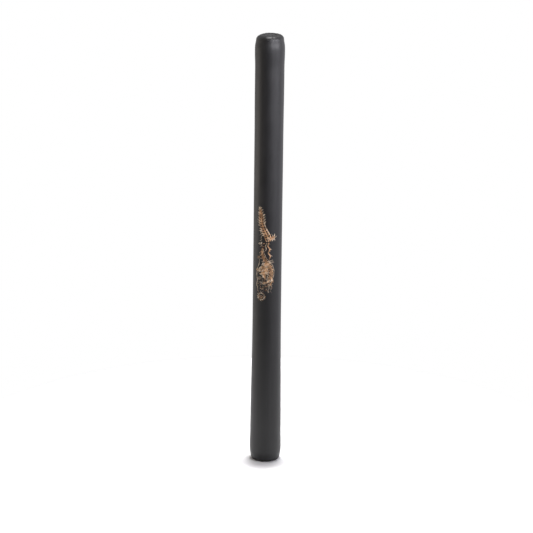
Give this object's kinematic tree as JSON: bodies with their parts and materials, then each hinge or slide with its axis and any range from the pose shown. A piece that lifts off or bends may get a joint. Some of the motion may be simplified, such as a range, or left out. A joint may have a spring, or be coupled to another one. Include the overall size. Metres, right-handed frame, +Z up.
{
  "type": "padded training stick",
  "caption": "Straight round stick with a thick black foam sleeve over a rigid tube core, drawn-in rounded ends and a copper and beige dragon print.",
  "frame": {"origin": "centre of the stick's lower end, on the surface that it stands on", "axes": "+Z up the stick's length, -Y out of the printed side, +X to the right of someone facing the print"},
  "size_m": [0.0476, 0.0476, 0.66],
  "materials": {
    "sleeve_foam": "satin closed-skin foam",
    "pad_foam": "matte closed-cell foam",
    "tube_plastic": "drawn rigid plastic tube",
    "plug_plastic": "moulded plastic",
    "copper_ink": "satin metallic transfer print",
    "beige_ink": "satin transfer print"
  },
  "bodies": {
    "root": {"foam_sleeve": "sleeve_foam", "core_tube": "tube_plastic", "core_plug_bottom": "plug_plastic", "core_plug_top": "plug_plastic", "end_pad_bottom": "pad_foam", "end_pad_top": "pad_foam", "dragon_print": "copper_ink", "pearl_print": "beige_ink"}
  },
  "joints": []
}
